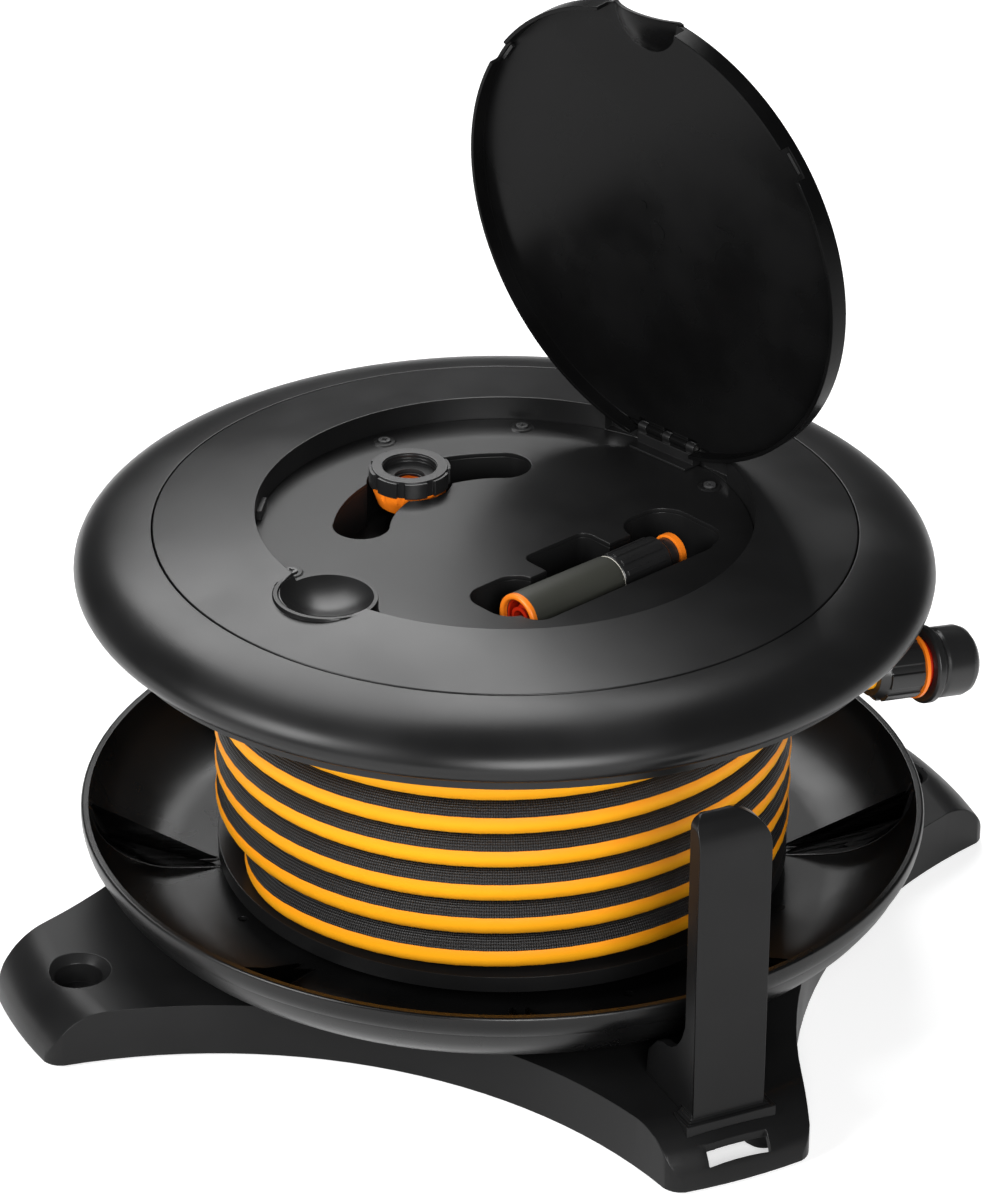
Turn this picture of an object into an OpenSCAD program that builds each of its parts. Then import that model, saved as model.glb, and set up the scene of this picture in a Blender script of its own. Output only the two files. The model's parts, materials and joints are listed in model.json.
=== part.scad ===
// Turntable hose reel. A dished base on four feet carries a turning drum of garden hose.
// The drum's domed top has a round storage tray under a hinged lid, with a spray nozzle
// and a tap adaptor put away in it.
//
// Frame: origin on the floor under the spindle, +Z up, +X from the spindle to the lid's hinge.
// Millimetres and degrees.

/* [Feet] */
// Turn of the feet about the spindle, from the line that runs to the lid's hinge
feet_turn = -20; // [-45:1:45]
// From the spindle to the tip of each foot
foot_reach = 277; // [274:1:290]
// Height of the feet above the floor
foot_h = 31; // [29:0.5:33]
// Radius of the two deep arcs between the feet
arc_r = 268; // [255:1:275]
// From the spindle to the middle of each deep arc
arc_waist = 162.5; // [158:0.5:166]
// Radius of the two shallow arcs between the feet
shallow_r = 335; // [325:1:345]
// From the spindle to the middle of each shallow arc
shallow_waist = 179; // [176:0.5:182]
// Rounding of the corners of the feet, seen from above
foot_corner = 11; // [6:1:16]
// Wall of the foot frame
foot_wall = 3; // [2:0.5:4]
// How far the rubber pads stand out below the feet
pad_out = 1.5; // [1:0.5:2.5]
// Radius of each rubber pad
pad_r = 9; // [6:1:12]
// From the spindle to the peg holes in the two side feet
peg_reach = 243; // [240:1:246]
// Diameter of the peg holes
peg_d = 25; // [20:1:26]
// Length of the strap slots in the two post feet
slot_len = 34; // [25:1:40]
// Width of the strap slots
slot_w = 6; // [5:0.5:7]

/* [Bowl] */
// Outer radius of the bowl
bowl_r = 223; // [221:1:226]
// Height of the bowl's rim above the floor
bowl_top = 78; // [74:1:84]
// Radius at which the bowl's flat bottom starts to curve up
bowl_flat_r = 172; // [168:1:180]
// Wall of the bowl
bowl_wall = 3; // [2:0.5:4]
// Height of the turned-down lip round the bowl
lip_h = 13; // [9:1:16]

/* [Posts] */
// From the spindle to the outer face of each post
post_reach = 260.5; // [260:0.5:262]
// Thickness of the posts
post_t = 11; // [9:0.5:11.5]
// Width of the posts
post_w = 40; // [34:1:46]
// Height of the posts' tops above the floor
post_top = 203; // [180:1:206]

/* [Drum] */
// Radius of the lower flange
flange_r = 151; // [148:1:156]
// Height of the lower flange's upper face
flange_top = 57; // [56:0.5:60]
// Radius of the drum's barrel
drum_r = 83.5; // [80:0.5:88]
// Wall of the barrel and of its webs
drum_wall = 2.5; // [2:0.5:3.5]
// Webs inside the drum
webs = 10; // [8:1:12]

/* [Hose] */
// Outside diameter of the hose
hose_d = 19; // [17:0.5:19.5]
// Bore of the hose
hose_bore = 13; // [10:0.5:14]
// Full turns in the outer layer
turns = 6; // [4:1:6]
// Space between one turn and the next
turn_gap = 0.6; // [0.5:0.1:0.8]
// Radius of the outer layer's centre line
wind_r = 142.5; // [138:0.5:144]

/* [Turntable] */
// Outer radius of the turntable
disc_r = 223; // [218:1:228]
// Radius of the seam between the domed panel and the rim
seam_r = 182.3; // [170:1:190]
// Radius of the round recess in the panel
recess_r = 129.1; // [127:0.5:134]
// Height of the panel at the recess's edge
top_z = 247.3; // [246:0.5:250]
// Height of the rim where it is widest
rim_z = 218; // [216:1:220]
// Height of the turntable's underside
under_z = 203; // [201:1:204]
// Height of the tray's floor
tray_z = 234.2; // [233:0.2:235]
// Depth of the tray's pockets
pocket_h = 25; // [23:0.5:25.5]
// Wall of the panels
panel_t = 3; // [2:0.5:3.5]

/* [Lid] */
// Radius of the lid
lid_r = 127.8; // [126:0.2:128.4]
// Thickness of the lid's plate
lid_t = 2.6; // [2:0.2:3]
// Depth of the lid with its skirt
lid_depth = 10.5; // [8:0.5:11]
// How far the lid stands open
lid_open = 84.2; // [0:0.1:95]
// From the spindle to the hinge pin
hinge_x = 123.7; // [123.4:0.1:124]

/* [Nozzle] */
// Diameter of the nozzle's rear end
nozzle_d = 26.5; // [26:0.5:28]
// Length of the nozzle's body, without its turning head
nozzle_len = 65; // [64:1:66]
// Diameter of the turning head
head_d = 24; // [23.5:0.5:25]

/* [Tap adaptor] */
// Outer diameter of the threaded ring
ring_d = 43; // [40:0.5:44]
// Bore of the threaded ring
ring_bore = 29; // [26:0.5:30]

/* [Hose connector] */
// Outer diameter of the release sleeve
sleeve_d = 37; // [34:0.5:38]
// Bore of the connector's socket
socket_d = 16; // [14:0.5:17]

/* [Hidden] */

$fn = 96;
SMOOTH = 180;
EPS = 0.01;
BLACK = [0.16, 0.16, 0.165];
DARK = [0.09, 0.09, 0.095];
ORANGE = [0.95, 0.42, 0.08];
OLIVE = [0.27, 0.28, 0.25];
RED = [0.55, 0.1, 0.05];
STEEL = [0.7, 0.71, 0.72];
WHITE = [0.88, 0.87, 0.84];

// Running clearance of a turning or sliding round fit, and of parts that only lie together
run = 0.05;
lie = 0.3;

// Turns a piece that is drawn with its feet along X and Y to where the feet point
module on_feet() rotate([0, 0, feet_turn]) children();

// A body of revolution from a closed outline of [radius, height] points
module turned(points, fn = SMOOTH) rotate_extrude($fn = fn) polygon(points);

module tube(r_out, r_in, z0, z1, fn = SMOOTH) difference() {
    translate([0, 0, z0]) cylinder(r = r_out, h = z1 - z0, $fn = fn);
    translate([0, 0, z0 - 1]) cylinder(r = r_in, h = z1 - z0 + 2, $fn = fn);
}

module rod(r, z0, z1, fn = 48) translate([0, 0, z0]) cylinder(r = r, h = z1 - z0, $fn = fn);

// A quarter of an ellipse from its top, at the centre's radius, out to its widest point
function quarter(cr, cz, a, b, n) =
    [for (i = [0:n]) [cr + a * sin(90 * i / n), cz + b * cos(90 * i / n)]];

// Feet

// Radius and centre distance of the arc on either side of a foot: 0 deep, 1 shallow
arcs = [[arc_r, arc_waist + arc_r], [shallow_r, shallow_waist + shallow_r]];
nose_r = foot_h - pad_out;

// One rounded corner of a foot's plan: its centre lies on both offset circles
function corner_angle(reach, ar, ac, cr) =
    45 - acos((pow(reach - cr, 2) + pow(ac, 2) - pow(ar + cr, 2)) / (2 * (reach - cr) * ac));

// The cut follows the fillet in short straight steps
module foot_corner_cut(reach, ar, ac, cr) {
    a = corner_angle(reach, ar, ac, cr);
    c = (reach - cr) * [cos(a), sin(a)];
    side = ac * [cos(45), sin(45)] - c;
    b = atan2(side[1], side[0]);
    polygon(concat([c + (cr + 6) * [cos(a), sin(a)]],
        [for (i = [0:6]) let (t = a + (b - a) * i / 6, r = i % 6 == 0 ? cr + 0.4 : cr)
            c + r * [cos(t), sin(t)]],
        [c + (cr + 6) * [cos(b), sin(b)], c + 4 * cr * [cos((a + b) / 2), sin((a + b) / 2)]]));
}

module foot_plan(inset) {
    reach = foot_reach - inset;
    difference() {
        circle(r = reach + 5, $fn = SMOOTH);
        for (k = [0:3]) let (arc = arcs[k % 2])
            rotate(45 + 90 * k) translate([arc[1], 0]) circle(r = arc[0] + inset, $fn = SMOOTH);
        for (k = [0:3], m = [0:1]) let (arc = arcs[(k + m) % 2])
            rotate(90 * k) mirror([0, m]) foot_corner_cut(reach, arc[0] + inset, arc[1],
                foot_corner - inset / 2);
    }
}

// The feet roll over to the floor in a quarter round at their tips
module foot_block(inset) intersection() {
    translate([0, 0, pad_out]) linear_extrude(nose_r - inset) rotate(feet_turn) foot_plan(inset);
    rotate_extrude($fn = SMOOTH) translate([0, pad_out]) {
        square([foot_reach - nose_r, nose_r - inset]);
        intersection() {
            translate([foot_reach - nose_r, 0]) circle(r = nose_r - inset, $fn = SMOOTH);
            square(foot_reach);
        }
    }
}

rib_step = 46;
rib_t = 2.4;
boss_r = 18;
boss_low = foot_h - 9;
frame_hole_r = 48;
bowl_screw_reach = 120;
post_screw_y = post_w / 2 - 8;
pipe_z = 15.5;
pipe_r = 8;
pipe_cut = pipe_r + 3;
pipe_angle = 45;
peg_rim = peg_d / 2 + 4.5;
peg_ledge = 16;
peg_through_r = 7;
pad_reach = foot_reach - 30;
post_mid = post_reach - post_t / 2;

module peg_places() for (s = [0, 180]) rotate(s) translate([peg_reach, 0, 0]) children();

module bowl_screw_places() for (k = [0:3]) rotate(15 + 90 * k)
    translate([bowl_screw_reach, 0, 0]) children();

module post_screw_places() for (s = [90, 270], m = [-1, 1]) rotate(s)
    translate([post_mid, m * post_screw_y, 0]) children();

module pad_places() for (k = [0:3], m = [-1, 1])
    rotate(90 * k) translate([pad_reach, m * 27.5, 0]) children();

module frame_grid() difference() {
    on_feet() translate([0, 0, pad_out + 1]) {
        for (i = [-5:5]) {
            translate([i * rib_step - rib_t / 2, -foot_reach, 0])
                cube([rib_t, 2 * foot_reach, foot_h]);
            translate([-foot_reach, i * rib_step - rib_t / 2, 0])
                cube([2 * foot_reach, rib_t, foot_h]);
        }
    }
    translate([0, 0, -1]) cylinder(r = frame_hole_r + foot_wall - 1, h = 2 * foot_h);
    // the strap slots and the posts' screws stay clear of ribs
    on_feet() for (s = [90, 270]) rotate(s) translate([foot_reach - 49, -25, 0])
        cube([60, 50, foot_h]);
}

module frame_open() difference() {
    union() {
        difference() {
            foot_block(0);
            translate([0, 0, -EPS]) foot_block(foot_wall);
        }
        intersection() {
            foot_block(foot_wall / 2);
            union() {
                frame_grid();
                rod(frame_hole_r + foot_wall, pad_out + 0.5, foot_h, 96);
                on_feet() {
                    peg_places() rod(boss_r, pad_out + 0.5, foot_h);
                    bowl_screw_places() rod(6, pad_out + 6, foot_h);
                    post_screw_places() rod(6, boss_low, foot_h);
                    pad_places() rod(pad_r + 2, pad_out + 0.5, foot_h);
                }
            }
        }
    }
    // channel of the inlet pipe and the open middle
    on_feet() rotate(pipe_angle) translate([30, 0, pipe_z]) rotate([0, 90, 0])
        cylinder(r = pipe_cut, h = arc_waist, $fn = 64);
    translate([0, 0, -1]) cylinder(r = frame_hole_r, h = foot_h + 2);
}

module foot_frame() color(BLACK) difference() {
    frame_open();
    on_feet() {
        // peg holes with a countersunk mouth and a ledge
        peg_places() {
            rod(peg_d / 2, peg_ledge, foot_h + 1);
            rod(peg_through_r, -1, peg_ledge + 1);
            translate([0, 0, foot_h - 4]) cylinder(r1 = peg_d / 2, r2 = peg_rim, h = 4 + EPS, $fn = 64);
        }
        // strap slots through the rolled tips of the two post feet
        for (s = [90, 270]) rotate(s)
            translate([foot_reach - 2.6 - slot_w, -slot_len / 2, -1]) cube([slot_w, slot_len, foot_h + 2]);
        bowl_screw_places() rod(2.2, -1, foot_h + 1);
        post_screw_places() rod(2.2, -1, foot_h + 1);
        // pockets that hold the rubber pads
        pad_places() rod(pad_r + run, 0, pad_out + 2);
    }
}

module foot_pads() color(DARK) on_feet() pad_places() {
    rod(pad_r - 0.6, 0, pad_out, 40);
    rod(pad_r, pad_out, pad_out + 2 - run, 40);
}

// Bowl

bowl_rib = 2;
bowl_base = foot_h;
bowl_under = bowl_base + 4;
bowl_floor = bowl_under + bowl_wall;
side_a = bowl_r - bowl_wall - 1.2 - bowl_flat_r;
hub_r = 38;

function bowl_side(off) = [for (i = [0:10]) [bowl_flat_r + (side_a + off) * sin(9 * i),
    bowl_floor + (bowl_top - bowl_floor) - (bowl_top - bowl_floor + off) * cos(9 * i)]];

module bowl() color(BLACK) on_feet() difference() {
    union() {
        // dished wall
        turned(concat([[0, bowl_under], [0, bowl_floor]], bowl_side(0),
            [for (i = [10:-1:0]) bowl_side(bowl_wall)[i]]));
        // rolled lip
        turned([[bowl_r - 3, bowl_top - 2], [bowl_r - 3, bowl_top], [bowl_r - 1.2, bowl_top],
            [bowl_r - 0.3, bowl_top - 0.6], [bowl_r, bowl_top - 1.8],
            [bowl_r, bowl_top - 5], [bowl_r - 0.8, bowl_top - 8.5], [bowl_r - 2.4, bowl_top - 11.5],
            [bowl_r - 4.8, bowl_top - lip_h], [bowl_r - 5.6, bowl_top - lip_h], [bowl_r - 3, bowl_top - 9]]);
        // rings that stand on the foot frame
        for (r = [62, 125, 165]) tube(r + bowl_rib, r, bowl_base, bowl_under + 1);
        // radial ribs that stiffen the side, in pairs
        intersection() {
            turned(concat([[150, bowl_floor - 1]], bowl_side(1),
                [[bowl_flat_r + side_a - 2, bowl_top - 3], [bowl_flat_r + side_a - 3.5, bowl_top - 8]],
                [for (i = [7:-1:0]) bowl_side(-0.9)[i]], [[150, bowl_floor + 0.9]]));
            for (k = [0:7], m = [-4, 4]) rotate([0, 0, 22.5 + 45 * k]) translate([140, m - 0.8, 0])
                cube([90, 1.6, bowl_top]);
        }
        bowl_screw_places() rod(6, bowl_base, bowl_floor + 1);
    }
    rod(spindle_r + lie, 0, bowl_top, 96);
    bowl_screw_places() rod(1.8, bowl_base - 1, bowl_floor - 1);
    for (k = [0:3]) rotate(45 + 90 * k) translate([hub_r - 8, 0, 0]) rod(2.2, 0, bowl_top);
    // small drain holes
    for (k = [0:3]) rotate(90 * k) translate([150, 0, 0]) rod(2.5, 0, bowl_top);
}

// Posts

cap_h = 20;
post_low = foot_h - 6.5;
module post_shape() {
    inner = post_reach - post_t;
    fin_t = 5;
    difference() {
        union() {
            translate([inner, -post_w / 2, post_low]) cube([post_t, post_w, post_top - post_low]);
            // fins that brace the post's foot, under the bowl's lip
            for (m = [-1, 1]) translate([0, m * (post_w / 2 - fin_t / 2) + fin_t / 2, 0])
                rotate([90, 0, 0]) linear_extrude(fin_t) polygon(concat([[inner + 1, foot_h + 0.1]],
                    [for (i = [0:8]) [inner + 1 - 24 * (1 - sin(90 - 11.25 * i)),
                        foot_h + 60 - 32 * sin(11.25 * i)]],
                    [[bowl_r - 3, foot_h + 25], [bowl_r - 12, foot_h + 15], [bowl_r - 14, foot_h + 0.1]]));
            // the post sweeps out into the foot
            for (i = [0:4]) let (t = 18 * i, w = 5 * (1 - sin(t)), h = 5 * (1 - cos(t)))
                translate([inner - 1, -post_w / 2 - w, post_low])
                    cube([post_t + w * 0.9, post_w + 2 * w, foot_h - post_low + 0.4 + h]);
        }
        // the post's foot follows the rolled tip that it stands on
        rotate_extrude($fn = SMOOTH) translate([foot_reach - nose_r, pad_out]) circle(r = nose_r + run, $fn = SMOOTH);
        // the top rolls over towards the outer face
        translate([inner, 0, post_top - cap_h]) rotate([90, 0, 0])
            linear_extrude(post_w + 20, center = true) difference() {
                translate([0, 0]) square([post_t + 5, cap_h + 5]);
                scale_quarter(post_t, cap_h);
            }
        // one strongly rounded top corner, one small
        for (c = [[1, 22], [-1, 7]]) translate([0, c[0] * (post_w / 2 - c[1]), post_top - c[1]])
            rotate([0, 90, 0]) linear_extrude(post_reach + 5) difference() {
                translate([-c[1] - 1, c[0] > 0 ? 0 : -c[1] - 1]) square(c[1] + 1);
                circle(r = c[1], $fn = 64);
            }
        // screws from below
        for (m = [-1, 1]) translate([post_mid, m * post_screw_y, 0]) rod(1.8, 0, foot_h + 22);
    }
}

module scale_quarter(a, b) polygon(concat([[-1, -1], [-1, b]],
    [for (i = [0:8]) [a * sin(11.25 * i), b * cos(11.25 * i)]], [[a, -1]]));

module front_post() color(BLACK) on_feet() rotate([0, 0, -90]) post_shape();
module rear_post() color(BLACK) on_feet() rotate([0, 0, 90]) post_shape();

module screw(r, head_r, z0, z1, head_h) {
    rod(r, z0 + head_h, z1, 24);
    difference() {
        rod(head_r, z0, z0 + head_h, 32);
        for (a = [0, 90]) rotate(a) translate([-head_r * 0.6, -0.5, z0 - 1])
            cube([head_r * 1.2, 1, 1 + head_h * 0.5]);
    }
}

module post_screws() color(STEEL) on_feet() post_screw_places()
    screw(1.75, 3.8, boss_low - 2.6, foot_h + 18, 2.6);

module bowl_screws() color(STEEL) on_feet() {
    bowl_screw_places() screw(1.75, 3.8, pad_out + 3.4, bowl_floor - 2, 2.6);
    // screws that hold the spindle's flange to the bowl
    for (k = [0:3]) rotate(45 + 90 * k) translate([hub_r - 8, 0, 0])
        screw(1.75, 3.8, bowl_under - 2.6, bowl_floor + 4, 2.6);
}

// Spindle and water way

spindle_r = 20;
water_r = 8;
flange_h = 5;
shoulder_z = 150;
spigot_r = 12;
spigot_top = 172;
washer_h = 2.5;
hub_bottom = bowl_floor + flange_h + washer_h + 2 * run;
nut_r = 26;
nut_h = 6;
seal_t = 1.8;
seal_z = 161;

module spindle() color(BLACK) on_feet() difference() {
    union() {
        rod(spindle_r, pipe_z + pipe_r + 0.5, shoulder_z, SMOOTH);
        rod(hub_r, bowl_floor, bowl_floor + flange_h, SMOOTH);
        rod(spigot_r, shoulder_z - 1, spigot_top, 96);
        rod(spindle_r - 4, 4, pipe_z + pipe_r + 1, 96);
    }
    rod(water_r, pipe_z, spigot_top + 1, 64);
    rotate(pipe_angle) translate([0, 0, pipe_z]) rotate([0, 90, 0])
        cylinder(r = pipe_r - 1.5, h = spindle_r + 2, $fn = 64);
    for (k = [0:3]) rotate(45 + 90 * k) translate([hub_r - 8, 0, 0]) rod(1.8, bowl_floor - 1, bowl_floor + 4.2);
    // grooves for the two seal rings
    for (z = [seal_z, seal_z + 5]) tube(spigot_r + 1, spigot_r - seal_t, z - 1.3, z + 1.3);
}

module spigot_seals() color(DARK) for (z = [seal_z, seal_z + 5])
    translate([0, 0, z]) rotate_extrude($fn = 96)
        translate([spigot_r - seal_t / 2, 0]) circle(r = seal_t / 2 - run, $fn = 24);

module thrust_washer() color(WHITE)
    tube(hub_r - 2, spindle_r + lie, bowl_floor + flange_h, bowl_floor + flange_h + washer_h);

module retaining_nut() color(BLACK) difference() {
    tube(nut_r, spigot_r + run, shoulder_z + 0.3, shoulder_z + nut_h, 96);
    for (k = [0:5]) rotate(60 * k) translate([nut_r + 1.5, 0, 0]) rod(4, shoulder_z - 1, shoulder_z + nut_h + 3, 32);
}

nipple_len = 22;
pipe_end = arc_waist - 12;

module inlet_pipe() color(BLACK) on_feet() rotate([0, 0, pipe_angle]) translate([0, 0, pipe_z])
    rotate([0, 90, 0]) difference() {
        union() {
            translate([0, 0, spindle_r - 4.5]) cylinder(r = pipe_r, h = pipe_end - spindle_r + 4.5, $fn = 64);
            translate([0, 0, pipe_end - 14]) cylinder(r = pipe_r + 2.2, h = 14, $fn = 64);
        }
        cylinder(r = pipe_r - 2, h = pipe_end + 1, $fn = 64);
        rotate([0, -90, 0]) translate([0, 0, -pipe_z]) rod(spindle_r - 4 + run, 0, 60, 96);
    }

// The fixed half of a quick coupling, where the supply hose snaps on
module nipple(len, r_tip, r_body, bore) difference() {
    union() {
        cylinder(r = r_body, h = len * 0.32, $fn = 64);
        cylinder(r = r_tip - 1.8, h = len * 0.62, $fn = 64);
        translate([0, 0, len * 0.5]) cylinder(r = r_tip, h = len * 0.14, $fn = 64);
        cylinder(r = r_tip - 1.2, h = len, $fn = 64);
    }
    translate([0, 0, -1]) cylinder(r = bore, h = len + 2, $fn = 48);
    translate([0, 0, len * 0.78]) difference() {
        cylinder(r = r_tip + 2, h = 2.2, $fn = 48);
        translate([0, 0, -1]) cylinder(r = r_tip - 2.6, h = 5, $fn = 48);
    }
}

module inlet_nipple() color(ORANGE) on_feet() rotate([0, 0, pipe_angle]) translate([0, 0, pipe_z])
    rotate([0, 90, 0]) translate([0, 0, pipe_end]) nipple(nipple_len, 8.4, pipe_r + 2.2, 4.5);

// Drum

drum_top = under_z;
sleeve_out = 27;
sleeve_top = shoulder_z;
bush_t = 3;
lead_z = 183;
lead_angle = 162;

module drum_barrel() color(BLACK) difference() {
    union() {
        tube(drum_r, drum_r - drum_wall, flange_top, drum_top);
        rod(sleeve_out, flange_top, sleeve_top, 96);
        rod(31, sleeve_top - 8, sleeve_top, 96);
        for (k = [0:webs - 1]) rotate(360 / webs * k) translate([25, -drum_wall / 2, flange_top + 2])
            cube([drum_r - 25 - drum_wall / 2, drum_wall, sleeve_top - flange_top - 14]);
    }
    rod(spindle_r + bush_t + run, 0, 300, 96);
    rotate(lead_angle) translate([0, 0, lead_z]) rotate([0, 90, 0])
        cylinder(r = hose_d / 2 + 0.5, h = drum_r + 5, $fn = 48);
}

module lower_flange() color(BLACK) difference() {
    union() {
        tube(flange_r, 31, flange_top - 3, flange_top);
        tube(33, spindle_r + bush_t + run, hub_bottom, flange_top - EPS);
        // stiffening rings and spokes under the flange
        for (r = [92, flange_r - 3]) tube(r + 3, r, flange_top - 9, flange_top - 2);
        for (k = [0:11]) rotate(30 * k) translate([32, -1.25, flange_top - 8])
            cube([flange_r - 34, 2.5, 7]);
    }
    rod(spindle_r + bush_t + run, 0, 100, 96);
}

module bearing_bushes() color(WHITE) {
    tube(spindle_r + bush_t, spindle_r + run, flange_top - 8, flange_top + 10);
    tube(spindle_r + bush_t, spindle_r + run, sleeve_top - 18, sleeve_top - 0.5);
}

housing_r = 18;
housing_top = 196;

// Rotating half of the water joint: it stands on the drum's sleeve and seals on the spigot
module swivel_housing() color(BLACK) difference() {
    union() {
        rod(31, sleeve_top, sleeve_top + nut_h + 5, 96);
        rod(housing_r, sleeve_top + nut_h, housing_top, 96);
        rotate(lead_angle) translate([0, 0, lead_z]) rotate([0, 90, 0])
            cylinder(r = 9, h = housing_r + 6, $fn = 64);
        rotate(lead_angle) translate([0, 0, lead_z]) rotate([0, 90, 0])
            cylinder(r = hose_bore / 2 - run, h = housing_r + 24, $fn = 64);
    }
    rod(nut_r + 1.5, sleeve_top - 1, sleeve_top + nut_h + 1.5, 96);
    rod(spigot_r + run, 0, spigot_top + 2, 96);
    rod(spigot_r - 2, 0, housing_top - 3, 96);
    rotate(lead_angle) translate([0, 0, lead_z]) rotate([0, 90, 0]) cylinder(r = 4.5, h = 100, $fn = 48);
}

module along_lead() rotate([0, 0, lead_angle]) translate([0, 0, lead_z]) rotate([0, 90, 0]) children();

module hose_lead() color(ORANGE) along_lead() difference() {
    translate([0, 0, housing_r + 6.3]) cylinder(r = hose_d / 2, h = core_in - housing_r - 7, $fn = 48);
    cylinder(r = hose_bore / 2, h = 200, $fn = 48);
}

module hose_clip() color(STEEL) along_lead() translate([0, 0, housing_r + 11]) difference() {
    union() {
        cylinder(r = hose_d / 2 + 1.3, h = 9, $fn = 64);
        translate([hose_d / 2 + 2.5, -5, 4.5]) rotate([-90, 0, 0]) cylinder(r = 3, h = 10, $fn = 32);
    }
    translate([0, 0, -1]) cylinder(r = hose_d / 2 + run, h = 11, $fn = 64);
}

// Hose. The inner layers are a plain core; the outer layer is wound over it as one tube

pitch = hose_d + turn_gap;
core_in = drum_r + lie;
steps_per_turn = 24;
core_out = wind_r * cos(180 / steps_per_turn) - hose_d / 2 - lie;
wind_z0 = flange_top + hose_d / 2 + 0.3;
tail_angle = -102;
lead_turn = 82;
tuck_r = 75;
tuck = 60;
sides = 6;
// from the start of the outer layer to the point where the tail leaves it
wind_start = tail_angle - 360 * turns - lead_turn;
wind_steps = ceil((tail_angle - wind_start) / 360 * steps_per_turn);
wind_z1 = wind_z(tail_angle);

function on_circle(r, a) = [r * cos(a), r * sin(a)];
function wind_z(a) = wind_z0 + (a - wind_start) / 360 * pitch;
function tuck_point(b) = on_circle(wind_r - tuck_r, wind_start) + on_circle(tuck_r, wind_start - b);
tuck_end = tuck_point(tuck);
tuck_dir = [-sin(wind_start - tuck), cos(wind_start - tuck)];
start_z = wind_z(wind_start);

function lift(p, z) = [p[0], p[1], z];

winding_path = concat(
    [for (s = [1.15, 0.6, 0]) lift(tuck_end - s * hose_d * tuck_dir, start_z)],
    [for (b = [tuck - 12:-12:12]) lift(tuck_point(b), start_z)],
    [for (i = [0:wind_steps]) let (a = wind_start + (tail_angle - wind_start) * i / wind_steps)
        lift(on_circle(wind_r, a), wind_z(a))]);

// The tail leaves the top turn and droops a little to its connector
conn_at = [118.9, -177.8, 178.3];
conn_turn = -17.7;
conn_droop = 7.2;
conn_dir = [cos(conn_turn) * cos(conn_droop), sin(conn_turn) * cos(conn_droop), -sin(conn_droop)];
nut_len = 27;
tail_from = lift(on_circle(wind_r, tail_angle), wind_z(tail_angle));
tail_dir = [-sin(tail_angle), cos(tail_angle), 0.02];
tail_to = conn_at - (nut_len - 8) * conn_dir;
tail_pull = 42;

function bezier(a, b, c, d, t) = pow(1 - t, 3) * a + 3 * pow(1 - t, 2) * t * b
    + 3 * (1 - t) * t * t * c + t * t * t * d;

tail_bend = tail_to - 1.4 * hose_d * conn_dir;
tail_path = concat(
    [tail_from, tail_from + 0.25 * hose_d * tail_dir],
    [for (i = [1:7]) bezier(tail_from, tail_from + tail_pull * tail_dir,
        tail_bend - tail_pull * conn_dir, tail_bend, i / 7)],
    [tail_to - 0.7 * hose_d * conn_dir, tail_to]);

// Sweeps a round section along a path; the section's frame keeps one side level
function unit(v) = v / norm(v);
function heading(path, i) = unit(path[min(i + 1, len(path) - 1)] - path[max(i - 1, 0)]);
function ring_at(p, d, r, n) = let (s = unit(cross(d, [0, 0, 1])), u = cross(s, d))
    [for (k = [0:n - 1]) p + r * cos(360 * k / n) * s + r * sin(360 * k / n) * u];

module sweep(path, r, n, d_end) {
    rings = [for (i = [0:len(path) - 1])
        ring_at(path[i], i == len(path) - 1 ? d_end : heading(path, i), r, n)];
    last = len(path) - 1;
    points = [for (ring = rings) for (p = ring) p];
    faces = concat(
        [for (i = [0:last - 1], k = [0:n - 1]) let (k2 = (k + 1) % n)
            for (f = [[i * n + k, i * n + k2, (i + 1) * n + k2], [i * n + k, (i + 1) * n + k2, (i + 1) * n + k]])
                f],
        [for (k = [1:n - 2]) [0, k + 1, k]],
        [for (k = [1:n - 2]) [last * n, last * n + k, last * n + k + 1]]);
    polyhedron(points = points, faces = faces, convexity = 10);
}

// Least gap of the outer layer to itself, on points half a turn or more apart
winding_gap = min([for (i = [0:len(winding_path) - 1], j = [i + 12:1:len(winding_path) - 1])
    norm(winding_path[i] - winding_path[j])]) - hose_d;
echo(winding_gap = winding_gap, winding_turns = wind_steps / steps_per_turn);

module hose_winding() color(ORANGE) sweep(winding_path, hose_d / 2, sides,
    [tail_dir[0], tail_dir[1], 0]);

module hose_tail() color(ORANGE) sweep(tail_path, hose_d / 2, 12, conn_dir);

// The core gives way where the outer layer starts from inside it
module hose_core() color(ORANGE) difference() {
    tube(core_out, core_in, flange_top + lie, wind_z1 + hose_d / 2 + 1);
    translate([0, 0, flange_top]) linear_extrude(start_z + hose_d / 2 + 1 - flange_top)
        polygon(concat(
            [for (b = [0:10:tuck]) lift2(tuck_point(b), wind_start - b, hose_d / 2 + 1)],
            [lift2(tuck_end - 1.15 * hose_d * tuck_dir, wind_start - tuck, hose_d / 2 + 1),
             lift2(tuck_end - 1.15 * hose_d * tuck_dir, wind_start - tuck, -hose_d / 2 - 1)],
            [for (b = [tuck:-10:0]) lift2(tuck_point(b), wind_start - b, -hose_d / 2 - 1)],
            [on_circle(wind_r - hose_d / 2 - 1, wind_start + 12),
             on_circle(wind_r + hose_d, wind_start + 12), on_circle(wind_r + hose_d, wind_start)]));
}
function lift2(p, a, off) = p + off * [cos(a), sin(a)];

// Turntable

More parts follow.
